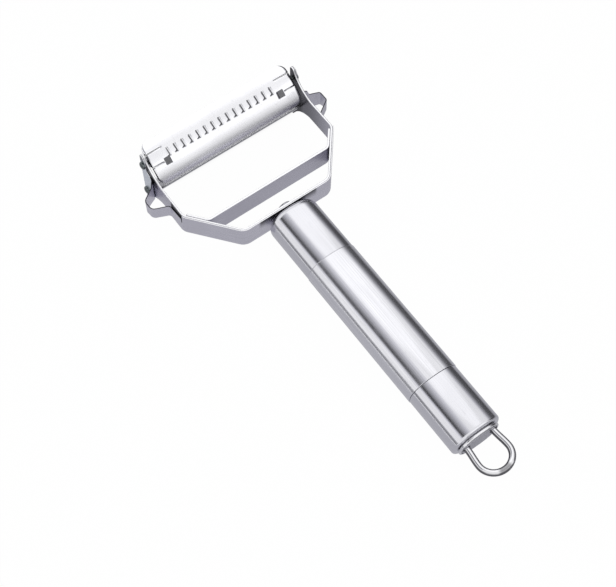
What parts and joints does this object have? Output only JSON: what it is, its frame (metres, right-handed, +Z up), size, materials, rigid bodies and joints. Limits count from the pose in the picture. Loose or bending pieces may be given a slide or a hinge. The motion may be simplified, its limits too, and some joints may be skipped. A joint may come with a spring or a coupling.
{
  "type": "vegetable peeler",
  "caption": "All-steel Y peeler with a front julienne blade, a rear peeling blade, side eye removers, an oval handle and a hanging loop",
  "frame": {"origin": "centre of the footprint, on the surface that the peeler lies on", "axes": "+X across the head, +Y along the handle towards the head, +Z up, out of the julienne side"},
  "size_m": [0.083, 0.1756, 0.0294],
  "materials": {
    "frame_satin_steel": "satin polish",
    "blade_polished_steel": "bright polish",
    "pin_bright_steel": "bright",
    "handle_polished_steel": "polished",
    "grip_brushed_steel": "fine lengthwise brushing",
    "plug_dull_steel": "dull",
    "end_plug_dull_steel": "dull",
    "loop_bright_steel": "bright polish"
  },
  "bodies": {
    "frame": {"outer_frame_band": "frame_satin_steel", "arm_strip": "frame_satin_steel", "crossbar_strip": "frame_satin_steel", "julienne_pivot_pin_left": "pin_bright_steel", "julienne_pivot_pin_right": "pin_bright_steel", "peeling_pivot_pin_left": "pin_bright_steel", "peeling_pivot_pin_right": "pin_bright_steel", "handle_front_section": "handle_polished_steel", "handle_grip_sleeve": "grip_brushed_steel", "handle_rear_section": "handle_polished_steel", "front_plug": "plug_dull_steel", "frame_screw": "plug_dull_steel", "end_plug": "end_plug_dull_steel", "end_collar": "loop_bright_steel", "hanging_loop": "loop_bright_steel"},
    "julienne_swing": {"julienne_blade": "blade_polished_steel"},
    "peeling_swing": {"peeling_blade": "blade_polished_steel"}
  },
  "joints": [
    {"name": "julienne_pivot", "type": "hinge", "parent": "frame", "child": "julienne_swing", "pos_m": [0, 0.08107, 0.02305], "axis": [1, 0, 0], "range_deg": [-50, 4]},
    {"name": "peeling_pivot", "type": "hinge", "parent": "frame", "child": "peeling_swing", "pos_m": [0, 0.08188, 0.00627], "axis": [1, 0, 0], "range_deg": [-4, 50]}
  ]
}
